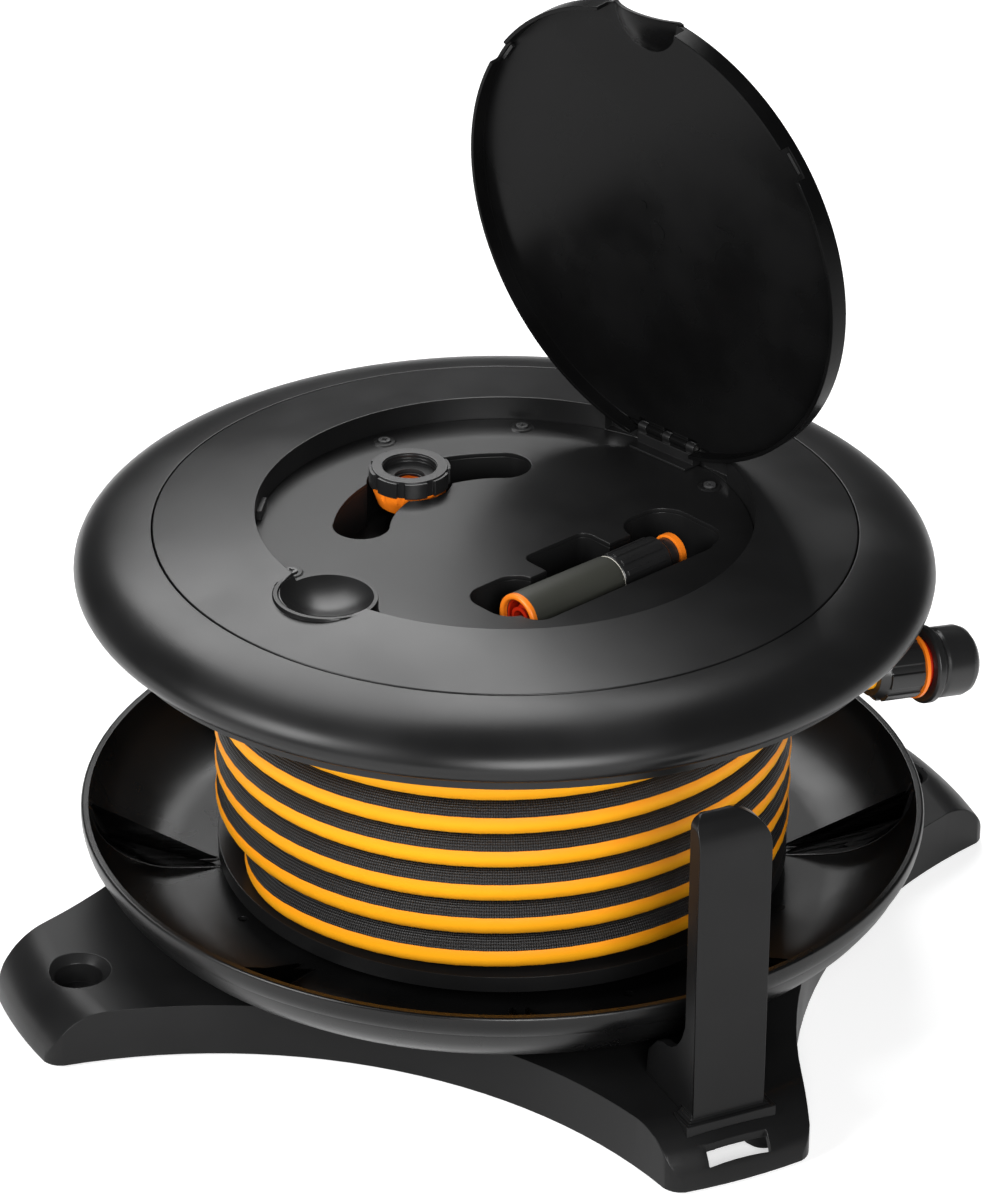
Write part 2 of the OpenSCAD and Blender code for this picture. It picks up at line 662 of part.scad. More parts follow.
dome_k = 0.000477;
function dome_z(r) = top_z - dome_k * (r * r - recess_r * recess_r);
rim_c = seam_r - 12.3;
rim_a = disc_r - rim_c;
rim_b = (dome_z(seam_r) - rim_z) / sqrt(1 - pow((seam_r - rim_c) / rim_a, 2));
rim_bottom = rim_z - 8;
plate_r = disc_r - 11;
function rim_pts(off) = [for (i = [0:12]) let (a0 = asin((seam_r + 0.4 - rim_c) / rim_a),
    a = a0 + (90 - a0) * i / 12) [rim_c + (rim_a - off) * sin(a), rim_z + (rim_b - off) * cos(a)]];
function rim_under(off) = [for (i = [0:5]) [disc_r - 8 + (8 - off) * cos(18 * i),
    rim_z - (8 - off) * sin(18 * i)]];

module rim_ring() color(BLACK) {
    turned(concat(rim_pts(0), rim_under(0), [[plate_r - 6, rim_bottom], [plate_r - 6, rim_bottom + panel_t]],
        [for (i = [5:-1:0]) rim_under(panel_t)[i]], [for (i = [12:-1:0]) rim_pts(panel_t)[i]]));
    // ledge that the domed panel lies on
    turned([[seam_r - 7, dome_z(seam_r) - 6.2], [seam_r - 7, dome_z(seam_r - 7) - panel_t - run],
        [seam_r - 0.5, dome_z(seam_r) - panel_t - run], [seam_r + 1, dome_z(seam_r) - panel_t + 0.8],
        [seam_r + 3, dome_z(seam_r) - panel_t], [seam_r + 3, dome_z(seam_r) - 6.2]]);
}

module under_plate() color(BLACK) {
    tube(plate_r, drum_r - 3, under_z, under_z + panel_t);
    tube(plate_r - 6 - run, plate_r - 9, under_z + 1, rim_bottom + panel_t);
    tube(plate_r, plate_r - 8, under_z, rim_bottom - run);
}

cup_x = -127;
cup_r = 24.5;
cup_sphere = 37;
wall_t = 2.4;
notch_x = 127.3;
notch_y = 44;
latch_turn = 53.5;

module recess_notch() translate([0, -notch_y, tray_z]) cube([notch_x, 2 * notch_y, 30]);

module top_panel() color(BLACK) difference() {
    union() {
        turned(concat([for (i = [0:8]) let (r = recess_r + (seam_r - 0.4 - recess_r) * i / 8) [r, dome_z(r)]],
            [for (i = [8:-1:0]) let (r = recess_r + (seam_r - 0.4 - recess_r) * i / 8)
                [r, dome_z(r) - panel_t]]));
        // wall of the recess, standing on the under plate
        tube(recess_r + wall_t, recess_r, under_z + panel_t, top_z - 1);
        // ledge that the tray lies on
        tube(recess_r + 1, recess_r - 5, tray_z - 5, tray_z - 2.5);
        // local thickening behind the hinge notch
        intersection() {
            tube(recess_r + 6, recess_r + 0.5, tray_z - 5, top_z - 1);
            translate([100, -notch_y - 3, 0]) cube([60, 2 * notch_y + 6, top_z]);
        }
        // collar round the finger cup
        intersection() {
            translate([cup_x, 0, 0]) rod(cup_r + 3.5, cup_floor, top_z - 1, 96);
            difference() {
                rod(200, 0, 300);
                rod(recess_r + 1, 0, 301, SMOOTH);
            }
        }
    }
    recess_notch();
    translate([cup_x, 0, cup_floor - 5]) cylinder(r = cup_r + 0.75, h = 40, $fn = 96);
    cup_hollow();
    pocket_clear();
}

tray_t = 2.5;
pocket_wall = 2;
pocket_z = tray_z - pocket_h;

// Slot for the tap adaptor: an arc about the spindle
slot_r = 74.5;
slot_half = 14.5;
slot_a0 = 45;
slot_a1 = 131;
adaptor_a = 86.6;
adaptor_seat_r = 22.4;

module arc_slot(grow) {
    intersection() {
        difference() {
            circle(r = slot_r + slot_half + grow, $fn = SMOOTH);
            circle(r = slot_r - slot_half - grow, $fn = SMOOTH);
        }
        polygon([[0, 0], on_circle(200, slot_a0), on_circle(200, (slot_a0 + slot_a1) / 2),
            on_circle(200, slot_a1)]);
    }
    for (a = [slot_a0, slot_a1]) translate(on_circle(slot_r, a))
        circle(r = slot_half + 0.15 + grow, $fn = 64);
    translate(on_circle(slot_r, adaptor_a)) circle(r = adaptor_seat_r + grow, $fn = 64);
}

// Pocket for the nozzle, with finger room at both ends and a notch for its switch
nozzle_y = -63.5;
nozzle_x0 = -54;
nozzle_turn = -3;

module at_pocket() translate([0, nozzle_y]) rotate(nozzle_turn) children();

module round_box(x0, x1, y0, y1, r) {
    translate([x0, y0 + r]) square([x1 - x0, y1 - y0 - 2 * r]);
    translate([x0 + r, y0]) square([x1 - x0 - 2 * r, y1 - y0]);
    for (x = [x0 + r, x1 - r], y = [y0 + r, y1 - r]) translate([x, y]) circle(r = r, $fn = 48);
}

module nozzle_pocket(grow) at_pocket() {
    round_box(nozzle_x0 - 5 - grow, 70 + grow, -21 - grow, 17 + grow, 10 + grow);
    round_box(nozzle_x0 - 14 - grow, -28 + grow, -9.5 - grow, 27 + grow, 13 + grow);
    round_box(42 - grow, 80 + grow, -19 - grow, 31 + grow, 15 + grow);
    round_box(-17 - grow, 27 + grow, -grow, 36 + grow, 6 + grow);
}

module pocket_clear() translate([0, 0, pocket_z - pocket_wall - 0.5]) linear_extrude(tray_z - pocket_z)
    nozzle_pocket(pocket_wall + 0.5);

module storage_tray() color(BLACK) difference() {
    union() {
        rod(recess_r - lie, tray_z - tray_t, tray_z, SMOOTH);
        for (a = tray_screw_a) rotate(a) translate([tray_screw_r, 0, 0]) rod(6, tray_z - 1, tray_z + 0.8, 40);
    }
    translate([0, 0, pocket_z]) linear_extrude(pocket_h + 5) {
        arc_slot(0);
        nozzle_pocket(0);
    }
    translate([cup_x, 0, 0]) rod(cup_r + 1, cup_floor - 5, tray_z + 5, 96);
    for (a = tray_screw_a) rotate(a) translate([tray_screw_r, 0, 0]) {
        rod(1.8, tray_z - 22, tray_z + 5, 24);
        rod(3.4, tray_z - 0.8, tray_z + 5, 32);
    }
    recess_notch_tray();
}

// A cup that hangs under the tray, round the plan that is given
module tray_cup() {
    difference() {
        translate([0, 0, pocket_z - pocket_wall]) linear_extrude(pocket_h + pocket_wall - tray_t)
            children(0);
        translate([0, 0, pocket_z]) linear_extrude(pocket_h) children(1);
    }
}

// Two ribs in the floor hold the nozzle clear of it
module nozzle_cup() color(BLACK) {
    tray_cup() {
        nozzle_pocket(pocket_wall);
        nozzle_pocket(0);
    }
    at_pocket() for (x = [-34, 8]) translate([x, -10, pocket_z - 1])
        cube([2, 20, noz_z - nozzle_r - 0.2 - pocket_z + 1]);
}

module adaptor_cup() color(BLACK) tray_cup() {
    arc_slot(pocket_wall);
    arc_slot(0);
}

// Posts on the under plate that the tray is screwed to
module tray_posts() color(BLACK) for (a = tray_screw_a) rotate(a) translate([tray_screw_r, 0, 0])
    difference() {
        rod(4, under_z + panel_t, tray_z - tray_t, 40);
        rod(1.8, tray_z - 22, tray_z + 5, 24);
    }

module recess_notch_tray() translate([notch_x - 2, -60, tray_z - tray_t - 1]) cube([20, 120, 10]);

tray_screw_a = [77, 40, 158, -20, -88];
tray_screw_r = 119;

module tray_screws() color(STEEL) for (a = tray_screw_a) rotate(a) translate([tray_screw_r, 0, 0])
    mirror([0, 0, 1]) translate([0, 0, -tray_z]) screw(1.75, 3.2, -1.6, 20, 2.2);

cup_floor = tray_z;
cup_rim = top_z - 3.2;
sphere_z = cup_rim + sqrt(pow(cup_sphere, 2) - pow(cup_r - 1.5, 2));

module cup_hollow() translate([cup_x, 0, sphere_z]) rotate([90, 0, 0]) sphere(r = cup_sphere, $fn = 128);

// The cup's outer part ends flush with the dome
module finger_cup() color(BLACK) difference() {
    intersection() {
        translate([cup_x, 0, 0]) rod(cup_r + 0.7, cup_floor - 1.4, top_z + 5, 96);
        turned(concat([[60, cup_floor - 5], [60, cup_rim], [recess_r, cup_rim]],
            [for (i = [0:4]) [recess_r + 10 * i, dome_z(recess_r + 10 * i)]], [[recess_r + 40, cup_floor - 5]]));
    }
    cup_hollow();
}

// Lid hinge

hinge_z = 244.6;
pin_r = 1.5;
knuckle_r = 2.65;
barrel_y0 = 3;
barrel_y1 = 14;
ear_y1 = 20;

module along_hinge(y0, y1) translate([hinge_x, y0, hinge_z]) rotate([-90, 0, 0])
    linear_extrude(y1 - y0) children();

module hinge_bracket() color(BLACK) difference() {
    union() {
        for (y = [[-ear_y1, -barrel_y1 - lie], [-barrel_y0 + lie, barrel_y0 - lie], [barrel_y1 + lie, ear_y1]]) {
            along_hinge(y[0], y[1]) circle(r = knuckle_r, $fn = 48);
            translate([hinge_x - knuckle_r + 0.6, y[0], tray_z + 2]) cube([3.4, y[1] - y[0], hinge_z - tray_z - 2]);
        }
        translate([hinge_x - knuckle_r, -ear_y1, tray_z + run]) cube([6, 2 * ear_y1, hinge_z - tray_z - 3.2]);
        translate([hinge_x - 9, -ear_y1, tray_z + run]) cube([10, 2 * ear_y1, 1.6]);
    }
    along_hinge(-50, 50) circle(r = pin_r + 0.02, $fn = 48);
}

module hinge_pin() color(STEEL) along_hinge(-ear_y1 + 0.5, ear_y1 - 0.5) circle(r = pin_r, $fn = 48);

// Small hooks on the recess wall that the lid's latches snap under
module latch_catches() color(BLACK) for (m = [-1, 1]) rotate(180 + m * latch_turn)
    intersection() {
        translate([recess_r - 3, -8, tray_z + run]) cube([3 - run, 16, 5.4]);
        rod(recess_r - run, 0, 300, SMOOTH);
    }

// The lid is drawn shut and opens about its pin

module opened() translate([hinge_x, 0, hinge_z]) rotate([0, lid_open, 0]) translate([-hinge_x, 0, -hinge_z])
    children();

skirt_t = 2.2;

module lid_shut() difference() {
    union() {
        // plate and skirt
        difference() {
            union() {
                rod(lid_r, top_z - lid_t, top_z, SMOOTH);
                tube(lid_r, lid_r - skirt_t, top_z - lid_depth, top_z - 1);
            }
            // room for the hinge bracket and the finger cup
            translate([hinge_x - 12, -ear_y1 - 1, 0]) cube([30, 2 * ear_y1 + 2, top_z - lid_t]);
            translate([cup_x, 0, 0]) rod(cup_r + 2.2, 0, top_z - lid_t, 96);
            // catches pass beside the skirt
            for (m = [-1, 1]) rotate(180 + m * latch_turn) translate([lid_r - 6, -9, 0])
                cube([10, 18, top_z - lid_depth + 5.2]);
        }
        // finger dome that nests in the cup
        intersection() {
            translate([cup_x, 0, sphere_z]) difference() {
                rotate([90, 0, 0]) sphere(r = cup_sphere - 1.5, $fn = 128);
                rotate([90, 0, 0]) sphere(r = cup_sphere - 3.5, $fn = 128);
            }
            translate([cup_x, 0, 0]) rod(cup_r + 0.4, 0, top_z, 96);
            rod(lid_r + 1.2, 0, top_z, SMOOTH);
        }
        // hinge barrels
        for (m = [0, 1]) mirror([0, m, 0]) {
            along_hinge(barrel_y0, barrel_y1) circle(r = knuckle_r, $fn = 48);
            translate([hinge_x - 4, barrel_y0, hinge_z]) cube([4, barrel_y1 - barrel_y0, knuckle_r - 0.2]);
        }
    }
    // hollow of the finger dome, seen from above
    translate([cup_x, 0, sphere_z]) rotate([90, 0, 0]) sphere(r = cup_sphere - 3.5, $fn = 128);
    along_hinge(-50, 50) circle(r = pin_r + run, $fn = 48);
    // the plate gives way to the bracket's ears
    for (y = [[-ear_y1 - 1, -barrel_y1], [-barrel_y0, barrel_y0], [barrel_y1, ear_y1 + 1]])
        translate([hinge_x - 4.4, y[0], hinge_z - 5]) cube([20, y[1] - y[0], 20]);
    translate([hinge_x + 1.6, -ear_y1 - 1, 0]) cube([20, 2 * ear_y1 + 2, 300]);
}

module lid() color(BLACK) opened() lid_shut();

module lid_latches() color(BLACK) opened() for (m = [-1, 1]) rotate(180 + m * latch_turn)
    translate([lid_r - skirt_t - 2.2, -6, top_z - lid_depth + 5.6]) cube([2, 12, lid_depth - lid_t - 5.7]);

// Hose connector, drawn along +Z from its orange ring and laid along the tail

module at_connector() translate(conn_at) rotate([0, 0, conn_turn]) rotate([0, 90 + conn_droop, 0]) children();

conn_nut_r = 16.5;
conn_body_r = 12.5;
sleeve_r = sleeve_d / 2;
sleeve_flange_r = 20.4;
sleeve_z0 = 3.4;
sleeve_z1 = 32;
sleeve_in = sleeve_r - 3.2;

module connector_nut() color(BLACK) at_connector() difference() {
    union() {
        translate([0, 0, -nut_len]) cylinder(r1 = conn_nut_r - 3.5, r2 = conn_nut_r - 1, h = 6, $fn = 96);
        translate([0, 0, -nut_len + 6 - EPS]) cylinder(r = conn_nut_r - 1, h = nut_len - 7.5, $fn = 96);
        for (k = [0:7]) rotate(45 * k) intersection() {
            translate([0, 0, -nut_len + 5]) cylinder(r = conn_nut_r, h = nut_len - 7, $fn = 96);
            translate([0, -4, -nut_len + 5]) cube([conn_nut_r + 1, 8, nut_len - 7]);
        }
    }
    translate([0, 0, -nut_len - 1]) cylinder(r = hose_d / 2 + lie, h = 9, $fn = 64);
    translate([0, 0, -nut_len + 7.9]) cylinder(r = conn_body_r + 0.1, h = nut_len, $fn = 96);
}

module connector_body() color(RED) at_connector() difference() {
    union() {
        translate([0, 0, -nut_len + 8.2]) cylinder(r = conn_body_r, h = nut_len + 11, $fn = 96);
        translate([0, 0, 0.9]) cylinder(r = sleeve_in - 0.3, h = 2.2, $fn = 96);
        translate([0, 0, 18]) cylinder(r = conn_body_r + 1.6, h = 10, $fn = 96);
    }
    translate([0, 0, -nut_len]) cylinder(r = 4.5, h = 60, $fn = 48);
    translate([0, 0, 8]) cylinder(r = socket_d / 2, h = 40, $fn = 64);
    translate([0, 0, -6]) cylinder(r = 6.5, h = 15, $fn = 64);
    translate([0, 0, 11.4]) cylinder(r = socket_d / 2 + 1.4, h = 2.6, $fn = 64);
}

module connector_ring() color(ORANGE) at_connector() difference() {
    translate([0, 0, -1.3]) cylinder(r = conn_nut_r + 0.6, h = 2.1, $fn = 96);
    translate([0, 0, -3]) cylinder(r = conn_body_r + 0.1, h = 5, $fn = 96);
}

module connector_seal() color(DARK) at_connector() translate([0, 0, 12.7])
    rotate_extrude($fn = 64) translate([socket_d / 2 + 0.35, 0]) circle(r = 0.95, $fn = 24);

module release_sleeve() color(BLACK) at_connector()
    turned([[sleeve_in, sleeve_z0], [sleeve_flange_r - 1.2, sleeve_z0], [sleeve_flange_r, sleeve_z0 + 1.2],
        [sleeve_flange_r, sleeve_z0 + 4.4], [sleeve_r - 0.8, sleeve_z0 + 7.5], [sleeve_r, sleeve_z0 + 10],
        [sleeve_r, sleeve_z1 - 6], [sleeve_r - 1.2, sleeve_z1 - 2.6], [sleeve_r - 4, sleeve_z1],
        [conn_body_r + 1.6 + run, sleeve_z1], [conn_body_r + 1.6 + run, sleeve_z1 - 10],
        [sleeve_in, sleeve_z1 - 10]], 96);

// A helical compression spring along +Z, its turns as one wire
module coil_spring(r, wire, z0, z1, n) sweep([for (i = [0:n * 14]) let (a = 360 / 14 * i)
    [r * cos(a), r * sin(a), z0 + wire / 2 + (z1 - z0 - wire) * i / (n * 14)]], wire / 2, 6,
    [-sin(360 * n), cos(360 * n), 0.1]);

// Both springs are drawn at the length they have with their part pushed back
module sleeve_spring() color(STEEL) at_connector() coil_spring(conn_body_r + 1.35, 1, 3.3, 17.7, 3);

// Valve that shuts the water off when the connector is empty
module stop_valve() color(WHITE) at_connector() {
    rod(6.5 - run, 5.5, 7.6);
    rod(2, -2, 5.6);
    difference() {
        rod(4.2, 7.5, 13.4);
        rod(3, 9, 16);
        for (k = [0:1]) rotate(90 * k) translate([-6, -1.2, 10]) cube([12, 2.4, 6]);
    }
}

module valve_spring() color(STEEL) at_connector() coil_spring(3.2, 0.8, -5.8, 2.3, 3);

// Spray nozzle, drawn along +X on its own axis and laid in its pocket

noz_z = tray_z - 8;
head_len = 45;
head_r = head_d / 2;
neck_r = 9;
tip_r = 8.7;
nozzle_r = nozzle_d / 2;
joint_r = head_r + 0.4;

module at_nozzle() translate([0, 0, noz_z]) at_pocket() translate([nozzle_x0, 0, 0]) rotate([0, 90, 0])
    children();

module nozzle_body() color(OLIVE) at_nozzle() difference() {
    turned([[0, 3.2], [nozzle_r, 3.2], [nozzle_r, 6], [joint_r + 0.2, nozzle_len - 2],
        [joint_r - 0.6, nozzle_len], [neck_r, nozzle_len], [neck_r, nozzle_len + 12],
        [0, nozzle_len + 12]], 96);
    // rear socket, water way and the slot that the switch slides in
    translate([0, 0, 3]) cylinder(r = nozzle_r - 3, h = 17, $fn = 96);
    cylinder(r = 4, h = 200, $fn = 48);
    rotate([0, 0, switch_turn]) translate([switch_floor, -4.2, 30]) cube([20, 8.4, 26]);
}

module nozzle_rear_ring() color(ORANGE) at_nozzle()
    turned([[nozzle_r - 3, 0.8], [nozzle_r - 2.2, 0], [nozzle_r - 0.9, 0], [nozzle_r, 0.9], [nozzle_r, 3.2],
        [nozzle_r - 3, 3.2]], 96);

module nozzle_socket() color(RED) at_nozzle() {
    difference() {
        translate([0, 0, 3.3]) cylinder(r = nozzle_r - 3 - run, h = 16.6, $fn = 96);
        translate([0, 0, -1]) cylinder(r = nozzle_r - 4.4, h = 18, $fn = 96);
        cylinder(r = 4, h = 60, $fn = 48);
    }
    translate([0, 0, 17]) mirror([0, 0, 1]) nipple(15, 7, 9.5, 4);
}

switch_turn = 90;
switch_floor = 9.5;
switch_len = 14;

// Flow switch: a grooved slider in the side of the nozzle
module nozzle_switch() color(BLACK) at_nozzle() rotate([0, 0, switch_turn]) difference() {
    union() {
        translate([switch_floor + run, -4, 30.4]) cube([4, 8, switch_len]);
        translate([switch_floor + 3.8, -3.2, 31.4]) cube([2.8, 6.4, switch_len - 2]);
    }
    for (i = [0:3]) translate([switch_floor + 6, -5, 33 + 3 * i]) cube([2, 10, 1]);
}

module nozzle_head() color(DARK) at_nozzle() {
    turned([[neck_r + run, nozzle_len + 0.4], [head_r - 0.8, nozzle_len + 0.4], [head_r, nozzle_len + 1.4],
        [head_r, nozzle_len + 33], [head_r - 3, nozzle_len + 36], [tip_r, nozzle_len + 36.5],
        [tip_r, nozzle_len + head_len], [4.5, nozzle_len + head_len], [4.5, nozzle_len + 12.5],
        [neck_r + run, nozzle_len + 12.5]], 96);
    for (k = [0:11]) rotate(30 * k) translate([head_r - 1, -1.4, nozzle_len + 3]) cube([1.7, 2.8, 27]);
}

module nozzle_tip_ring() color(ORANGE) at_nozzle()
    turned([[tip_r + run, nozzle_len + head_len - 3.6], [tip_r + 1.6, nozzle_len + head_len - 3.6],
        [tip_r + 1.6, nozzle_len + head_len + 0.2], [tip_r + 0.8, nozzle_len + head_len + 1],
        [tip_r - 0.9, nozzle_len + head_len + 1], [tip_r - 0.9, nozzle_len + head_len + run],
        [tip_r + run, nozzle_len + head_len + run]], 96);

module spray_plate() color(BLACK) at_nozzle() difference() {
    translate([0, 0, nozzle_len + head_len + run]) cylinder(r = tip_r - 1, h = 1.6, $fn = 64);
    for (k = [0:7]) rotate(45 * k) translate([5, 0, 0]) cylinder(r = 0.8, h = 200, $fn = 16);
    cylinder(r = 2, h = 200, $fn = 24);
}

// Tap adaptor, standing in the slot

adaptor_bottom = pocket_z + 0.3;
ring_top = top_z - 3.8;
ring_h = 9.5;
collar_r = ring_d / 2 - 2.2;

module at_adaptor() translate(concat(on_circle(slot_r, adaptor_a), [0])) children();

module adaptor_ring() color(BLACK) at_adaptor() difference() {
    union() {
        rod(ring_d / 2 - 1.6, ring_top - ring_h, ring_top, 96);
        for (k = [0:7]) rotate(45 * k + 10) intersection() {
            rod(ring_d / 2, ring_top - ring_h, ring_top - 0.8, 96);
            translate([0, -6, 0]) cube([ring_d, 12, 300]);
        }
    }
    rod(ring_bore / 2, ring_top - ring_h + 3, ring_top + 1, 96);
    rod(ring_bore / 2 + 0.7, ring_top - ring_h + 1.5, ring_top - ring_h + 3.5, 96);
    rod(6.5, 0, 300, 64);
}

module adaptor_washer() color(DARK) at_adaptor()
    tube(ring_bore / 2 + 0.5, 8, ring_top - ring_h + 1.55, ring_top - ring_h + 3.3, 64);

module adaptor_collar() color(ORANGE) at_adaptor() difference() {
    translate([0, 0, ring_top - ring_h - 12]) rotate_extrude($fn = 96)
        polygon([[8, 0], [collar_r - 3.4, 0], [collar_r - 2.4, 1], [collar_r, 8], [collar_r, 11.9], [8, 11.9]]);
    for (k = [0:11]) rotate(30 * k) translate([collar_r + 1.2, 0, 0]) rod(2, 0, 300, 24);
}

module adaptor_spigot() color(ORANGE) at_adaptor() translate([0, 0, ring_top - ring_h - 12.05])
    mirror([0, 0, 1]) nipple(ring_top - ring_h - 12.05 - adaptor_bottom, 8, 10, 4.5);

foot_frame();
foot_pads();
bowl();
front_post();
rear_post();
post_screws();
bowl_screws();
spindle();
thrust_washer();
retaining_nut();
spigot_seals();
inlet_pipe();
inlet_nipple();
drum_barrel();
lower_flange();
bearing_bushes();
swivel_housing();
hose_lead();
hose_clip();
hose_core();
hose_winding();
hose_tail();
under_plate();
rim_ring();
top_panel();
storage_tray();
nozzle_cup();
adaptor_cup();
tray_posts();
tray_screws();
finger_cup();
hinge_bracket();
hinge_pin();
latch_catches();
lid();
lid_latches();
connector_nut();
connector_body();
connector_ring();
connector_seal();
release_sleeve();
sleeve_spring();
stop_valve();
valve_spring();
nozzle_body();
nozzle_rear_ring();
nozzle_socket();
nozzle_switch();
nozzle_head();
nozzle_tip_ring();
spray_plate();
adaptor_ring();
adaptor_collar();
adaptor_spigot();
adaptor_washer();
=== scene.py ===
# %% [markdown]
# A hose reel that lies flat: a turntable carries the wound hose and turns on a low foot with a bowl.
# The CAD model holds every size and every joint, so it comes in first and is never moved.
# Each Blender piece is then made in the same place, in metres, and takes over from its CAD solid.

# %% Load the CAD model
import json
import math
import bpy
from mathutils import Matrix, Quaternion, Vector


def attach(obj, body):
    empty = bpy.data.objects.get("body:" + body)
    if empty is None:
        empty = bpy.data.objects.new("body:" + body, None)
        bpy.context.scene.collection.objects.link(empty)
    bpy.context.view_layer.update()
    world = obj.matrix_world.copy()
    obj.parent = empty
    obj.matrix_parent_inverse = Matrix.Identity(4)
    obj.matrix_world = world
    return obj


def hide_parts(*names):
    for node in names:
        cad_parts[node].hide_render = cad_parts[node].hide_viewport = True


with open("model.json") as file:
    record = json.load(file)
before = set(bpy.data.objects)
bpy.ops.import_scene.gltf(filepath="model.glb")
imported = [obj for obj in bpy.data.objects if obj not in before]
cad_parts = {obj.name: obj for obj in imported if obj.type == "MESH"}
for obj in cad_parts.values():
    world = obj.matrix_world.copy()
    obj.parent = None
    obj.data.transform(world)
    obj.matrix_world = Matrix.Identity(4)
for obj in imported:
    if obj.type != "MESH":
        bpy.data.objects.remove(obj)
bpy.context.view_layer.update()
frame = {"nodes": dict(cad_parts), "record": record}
nodes = frame["nodes"]

# %% [markdown]
# Blender's operators act on whatever is selected, and loading leaves the CAD parts selected.
# Everything is let go of first, and one small helper makes a single object the active one.


# %% Choose one object
def let_go():
    if bpy.context.object and bpy.context.object.mode != "OBJECT":
        bpy.ops.object.mode_set(mode="OBJECT")
    bpy.ops.object.select_all(action="DESELECT")


def pick(piece):
    let_go()
    piece.select_set(True)
    bpy.context.view_layer.objects.active = piece
    return piece


let_go()
MM = 0.001

# %% [markdown]
# The photograph was taken with a long lens from the front left, about 28 degrees above the horizon.
# A long lens keeps the round parts from looking stretched, so the lens and distance matter as much
# as the angle. The numbers come from fitting the ellipses of the disc and of the bowl.

# %% Camera
TURN, RISE = math.radians(-45.8), math.radians(28.44)
target = Vector((-0.003765, 0.003871, 0.1934))
back = Vector((math.sin(TURN) * math.cos(RISE), -math.cos(TURN) * math.cos(RISE), math.sin(RISE)))
bpy.ops.object.camera_add(location=target + back * 2.964)
camera = bpy.context.object
camera.data.lens, camera.data.sensor_width = 171, 36
aim = (-back).to_track_quat("-Z", "Y") @ Quaternion((0, 0, 1), math.radians(0.49))
camera.rotation_euler = aim.to_euler()
bpy.context.scene.camera = camera
print("camera at", [round(v, 3) for v in camera.location])

# %% [markdown]
# Materials are written as sums. One small class wraps an output of a node, and each operator on it
# adds a Math node, so a recipe reads like arithmetic. Every other node comes from one method that
# takes the node's type, its settings and then its sockets.


# %% Shader arithmetic
class Flow:
    def __init__(self, tree, socket=None):
        self.tree, self.socket = tree, socket

    def node(self, kind, settings=None, sockets=None, out=0):
        made = self.tree.nodes.new("ShaderNode" + kind)
        for name, value in (settings or {}).items():
            if name == "stops":
                ramp = made.color_ramp
                while len(ramp.elements) < len(value):
                    ramp.elements.new(0.5)
                for stop, (place, colour) in zip(ramp.elements, value):
                    stop.position, stop.color = place, colour
            else:
                setattr(made, name, value)
        for name, value in (sockets or {}).items():
            if isinstance(value, Flow):
                self.tree.links.new(value.socket, made.inputs[name])
            else:
                made.inputs[name].default_value = value
        return Flow(self.tree, made.outputs[out] if made.outputs else None)

    def maths(self, operation, *values):
        return self.node("Math", {"operation": operation}, dict(enumerate(values)))

    def __add__(self, other): return self.maths("ADD", self, other)
    def __radd__(self, other): return self.maths("ADD", other, self)
    def __sub__(self, other): return self.maths("SUBTRACT", self, other)
    def __rsub__(self, other): return self.maths("SUBTRACT", other, self)
    def __mul__(self, other): return self.maths("MULTIPLY", self, other)
    def __abs__(self): return self.maths("ABSOLUTE", self)

    def sine(self): return self.maths("SINE", self)

    def between(self, low, high, start=0.0, end=1.0):
        sockets = {0: self, 1: low, 2: high, 3: start, 4: end}
        return self.node("MapRange", {"interpolation_type": "SMOOTHSTEP"}, sockets)

    def colours(self, first, second):
        return self.node("Mix", {"data_type": "RGBA"}, {0: self, 6: first, 7: second}, out=2)


# %% [markdown]
# Moulded plastic is never one flat colour. The mould's fine texture breaks up the shine, handling
# leaves faint cloudy patches, and the colour varies a little. One recipe makes the plastics and the
# rubber, with the colour, the shine and the size of the grain as its settings.


# %% Plastic recipe
def new_finish(name):
    made = bpy.data.materials.new(name)
    made.use_nodes = True
    made.node_tree.nodes.clear()
    return made, Flow(made.node_tree)


def close_finish(flow, sockets):
    shader = flow.node("BsdfPrincipled", {}, sockets)
    flow.node("OutputMaterial", {}, {0: shader})


def grey(level):
    return (level, level, level * 1.02, 1)


def places(flow):
    return flow.node("TexCoord", out=3)


def plastic(name, dark, light, rough, spread=0.06, grain=2400, depth=0.02, gloss=0.5, cloud=9):
    made, flow = new_finish(name)
    where = places(flow)
    patch = flow.node("TexNoise", {}, {0: where, "Scale": cloud, "Detail": 4.0})
    speck = flow.node("TexNoise", {}, {0: where, "Scale": grain, "Detail": 2.0})
    wear = patch.between(0.35, 0.68)
    colour = wear.colours(dark, light)
    bump = flow.node("Bump", {}, {"Strength": 1.0, "Distance": depth * MM, "Height": speck})
    close_finish(flow, {"Base Color": colour, "Roughness": rough - spread / 2 + wear * spread,
                        "Specular IOR Level": gloss, "Normal": bump})
    return made


charcoal = plastic("charcoal_satin", grey(0.006), grey(0.010), 0.34, 0.10, gloss=0.34)
charcoal_base = plastic("charcoal_base", grey(0.006), grey(0.010), 0.36, 0.12, gloss=0.2)
print("plastic ready:", charcoal.name)

